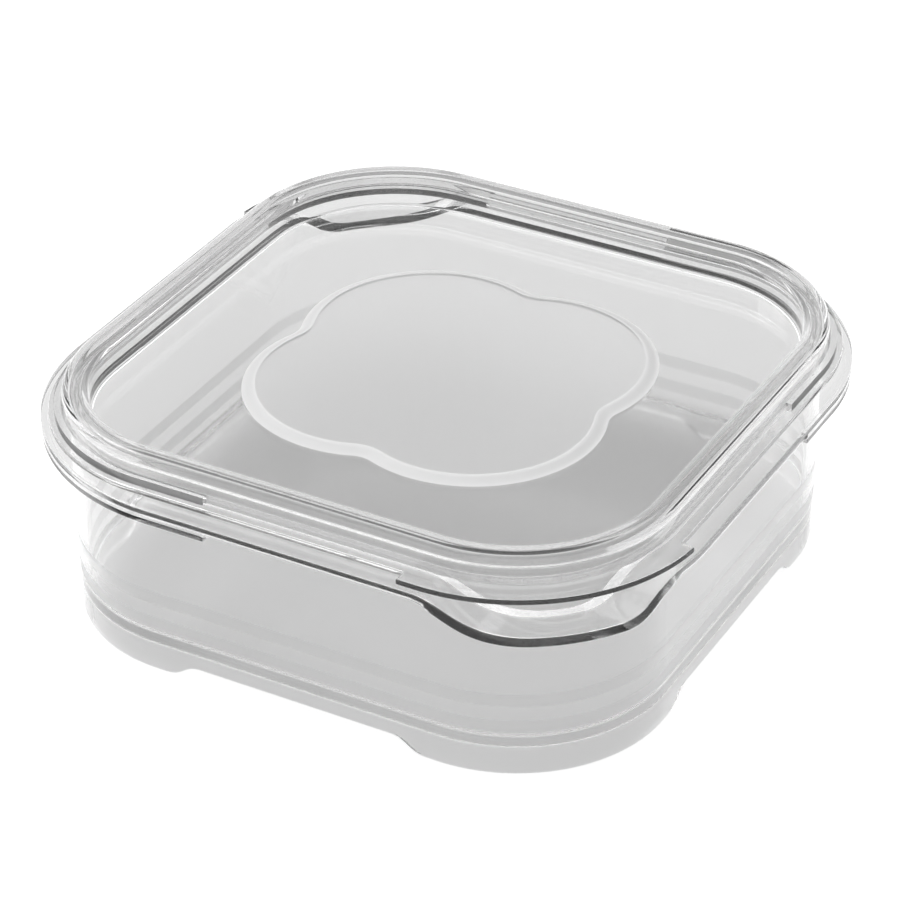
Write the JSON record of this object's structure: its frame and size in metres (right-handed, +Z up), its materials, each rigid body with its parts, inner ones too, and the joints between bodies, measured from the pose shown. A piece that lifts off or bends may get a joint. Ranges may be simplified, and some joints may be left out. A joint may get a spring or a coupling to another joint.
{
  "type": "food storage box",
  "caption": "Low square clear storage box with rounded corners, finger ledges at opposite corners and a lift-off lid with a raised quatrefoil panel.",
  "frame": {"origin": "centre of the footprint, on the surface the box stands on", "axes": "+Z up; X and Y square to the sides; the finger ledges are at the corners (+X, -Y) and (-X, +Y)"},
  "size_m": [0.113, 0.113, 0.04],
  "materials": {
    "tub_plastic": "clear, polished, with two frosted bands round the wall",
    "lid_plastic": "clear, polished"
  },
  "bodies": {
    "tub": {"tub": "tub_plastic"},
    "lid": {"lid": "lid_plastic"}
  },
  "joints": [
    {"name": "lid_lift", "type": "slide", "parent": "tub", "child": "lid", "axis": [0, 0, 1], "range_m": [0, 0.045]}
  ]
}
